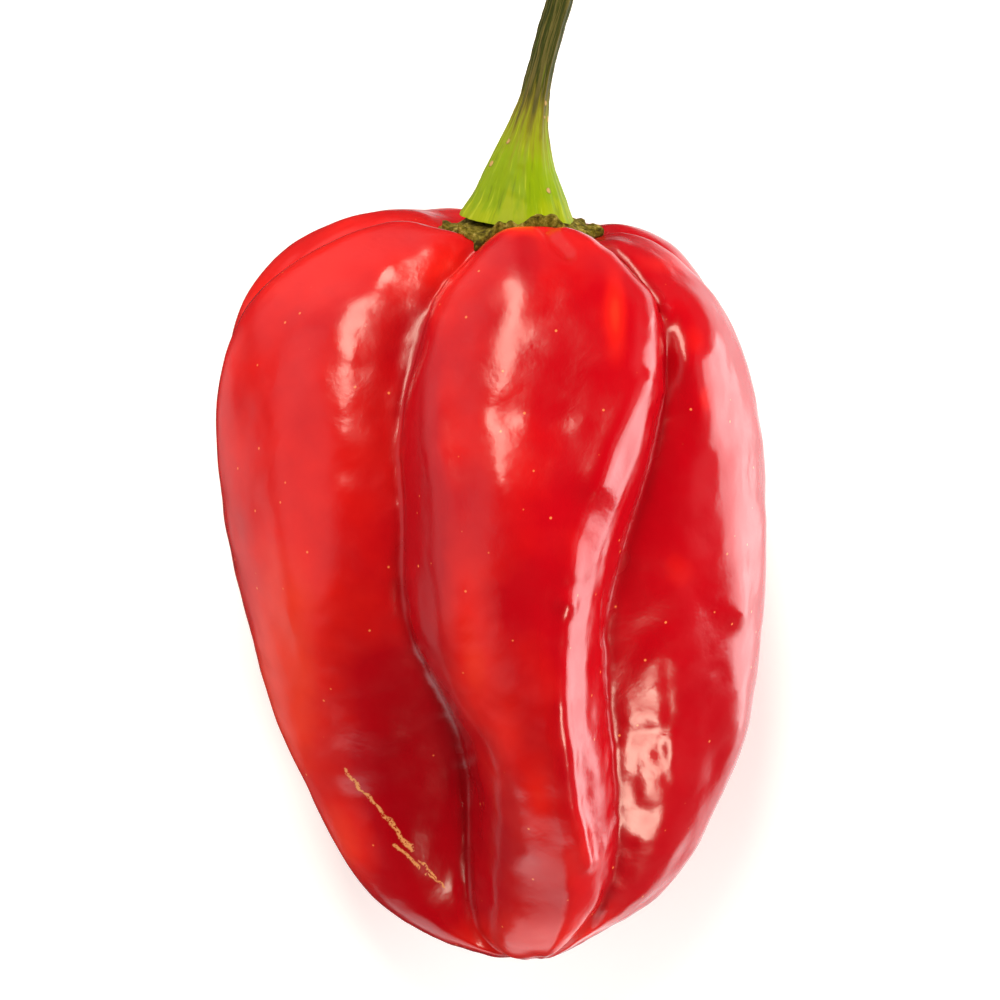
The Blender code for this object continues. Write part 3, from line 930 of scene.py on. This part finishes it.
def make_floor():
    """A sheet of white paper, which the waxy skin doesn't mirror."""
    sheet = bmesh.new()
    bmesh.ops.create_grid(sheet, x_segments=2, y_segments=2, size=1.5)
    mesh = bpy.data.meshes.new("floor")
    sheet.to_mesh(mesh)
    sheet.free()
    floor = bpy.data.objects.new("floor", mesh)
    bpy.context.scene.collection.objects.link(floor)
    material, _, shader = new_material("white_paper")
    shader.inputs["Base Color"].default_value = (0.9, 0.9, 0.9, 1)
    shader.inputs["Roughness"].default_value = 0.9
    shader.inputs["Specular IOR Level"].default_value = 0.1
    shader.inputs["Emission Color"].default_value = (1, 1, 1, 1)
    shader.inputs["Emission Strength"].default_value = 0.3
    mesh.materials.append(material)
    floor.visible_glossy = False


def direction_of(azimuth, elevation):
    """The direction towards this azimuth, counted from +X, and elevation, in degrees."""
    azimuth, elevation = math.radians(azimuth), math.radians(elevation)
    flat = math.cos(elevation)
    return Vector((math.cos(azimuth) * flat, math.sin(azimuth) * flat, math.sin(elevation)))


def add_light(name, azimuth, elevation, wide, tall, glow, colour, shape):
    """A soft light that looks this wide and tall from the pod, and faces it."""
    towards = direction_of(azimuth, elevation)
    light = bpy.data.lights.new(name, "AREA")
    light.shape = shape
    light.size = 2 * LIGHT_DISTANCE * math.tan(math.radians(wide / 2))
    light.size_y = 2 * LIGHT_DISTANCE * math.tan(math.radians(tall / 2))
    light.energy = glow * math.pi * light.size * light.size_y
    light.color = colour
    made = bpy.data.objects.new(name, light)
    made.location = drawn(0, 0, POD_MIDDLE) + LIGHT_DISTANCE * towards
    made.rotation_euler = (-towards).to_track_quat("-Z", "Y").to_euler()
    made.visible_glossy = name not in HIDDEN_IN_SHINE
    bpy.context.scene.collection.objects.link(made)


def make_world():
    """Dim air with a few broad glows."""
    world = bpy.data.worlds.new("studio_air")
    bpy.context.scene.world = world
    world.use_nodes = True
    tree = world.node_tree
    background = tree.nodes["Background"]
    direction = add(tree, "ShaderNodeTexCoord").outputs["Generated"]
    rise = add(tree, "ShaderNodeSeparateXYZ", Vector=direction).outputs["Z"]
    glow = between(tree, rise, 0.0, 0.8, 0.04, 0.03)
    for name, azimuth, elevation, full, faded, bright in GLOWS:
        towards = direction_of(azimuth, elevation)
        near = add(
            tree, "ShaderNodeVectorMath", operation="DOT_PRODUCT", name=name, i0=direction, i1=towards
        )
        edge, core = math.cos(math.radians(faded)), math.cos(math.radians(full))
        share = between(tree, near.outputs["Value"], edge, core, 0.0, bright)
        glow = reckon(tree, "ADD", glow, share)
    tree.links.new(glow, background.inputs["Color"])
    background.inputs["Strength"].default_value = 1.0


def make_camera():
    """Looks straight down."""
    data = bpy.data.cameras.new("camera")
    camera = bpy.data.objects.new("camera", data)
    bpy.context.scene.collection.objects.link(camera)
    data.sensor_width = SENSOR_WIDTH
    data.lens = SENSOR_WIDTH * CAMERA_DISTANCE / (VIEW_WIDTH * MM)
    data.clip_start = 0.01
    camera.location = drawn(*CAMERA_TARGET) + Vector((0, 0, CAMERA_DISTANCE))
    bpy.context.scene.camera = camera


make_floor()
make_world()
for name, setting in LIGHTS.items():
    add_light(name, *setting)
make_camera()
bpy.context.scene.view_settings.view_transform = "Standard"
